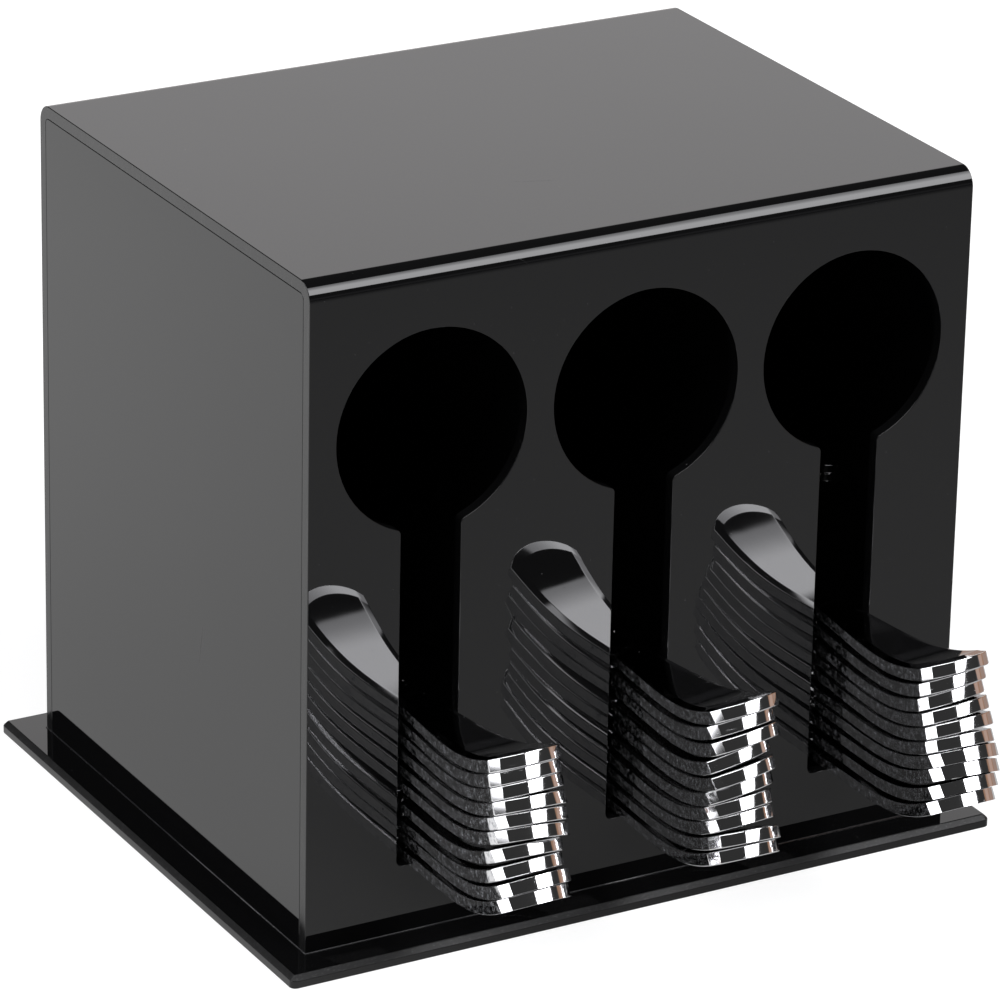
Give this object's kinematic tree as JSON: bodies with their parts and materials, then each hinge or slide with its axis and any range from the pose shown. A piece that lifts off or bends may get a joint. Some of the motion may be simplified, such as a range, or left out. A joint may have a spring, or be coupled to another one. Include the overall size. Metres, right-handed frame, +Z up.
{
  "type": "cutlery dispenser",
  "caption": "Box dispenser with keyhole openings in its front, through which stacked cutlery is lifted and drawn out by the handle.",
  "frame": {"origin": "centre of the underside of the base plate", "axes": "+Z up, +X to the right as seen from the front; the front with the keyholes faces -Y"},
  "size_m": [0.246, 0.2684, 0.216],
  "materials": {
    "black_acrylic": "polished sheet",
    "metallised_plastic": "metallised, mirror-like"
  },
  "bodies": {
    "dispenser": {"base_plate": "black_acrylic", "cover": "black_acrylic", "left_side_panel": "black_acrylic", "right_side_panel": "black_acrylic", "left_divider": "black_acrylic", "right_divider": "black_acrylic", "fork_1": "metallised_plastic", "fork_2": "metallised_plastic", "fork_3": "metallised_plastic", "fork_4": "metallised_plastic", "fork_5": "metallised_plastic", "fork_6": "metallised_plastic", "fork_7": "metallised_plastic", "fork_8": "metallised_plastic", "fork_9": "metallised_plastic", "knife_1": "metallised_plastic", "knife_2": "metallised_plastic", "knife_3": "metallised_plastic", "knife_4": "metallised_plastic", "knife_5": "metallised_plastic", "knife_6": "metallised_plastic", "knife_7": "metallised_plastic", "knife_8": "metallised_plastic", "knife_9": "metallised_plastic", "spoon_1": "metallised_plastic", "spoon_2": "metallised_plastic", "spoon_3": "metallised_plastic", "spoon_4": "metallised_plastic", "spoon_5": "metallised_plastic", "spoon_6": "metallised_plastic", "spoon_7": "metallised_plastic", "spoon_8": "metallised_plastic", "spoon_9": "metallised_plastic"},
    "top_fork": {"fork_10": "metallised_plastic"},
    "top_knife": {"knife_10": "metallised_plastic"},
    "top_spoon": {"spoon_10": "metallised_plastic"}
  },
  "joints": [
    {"name": "top_fork_lift", "type": "slide", "parent": "dispenser", "child": "top_fork", "axis": [0, 0, 1], "range_m": [0, 0.087]},
    {"name": "top_knife_lift", "type": "slide", "parent": "dispenser", "child": "top_knife", "axis": [0, 0, 1], "range_m": [0, 0.087]},
    {"name": "top_spoon_lift", "type": "slide", "parent": "dispenser", "child": "top_spoon", "axis": [0, 0, 1], "range_m": [0, 0.087]}
  ]
}
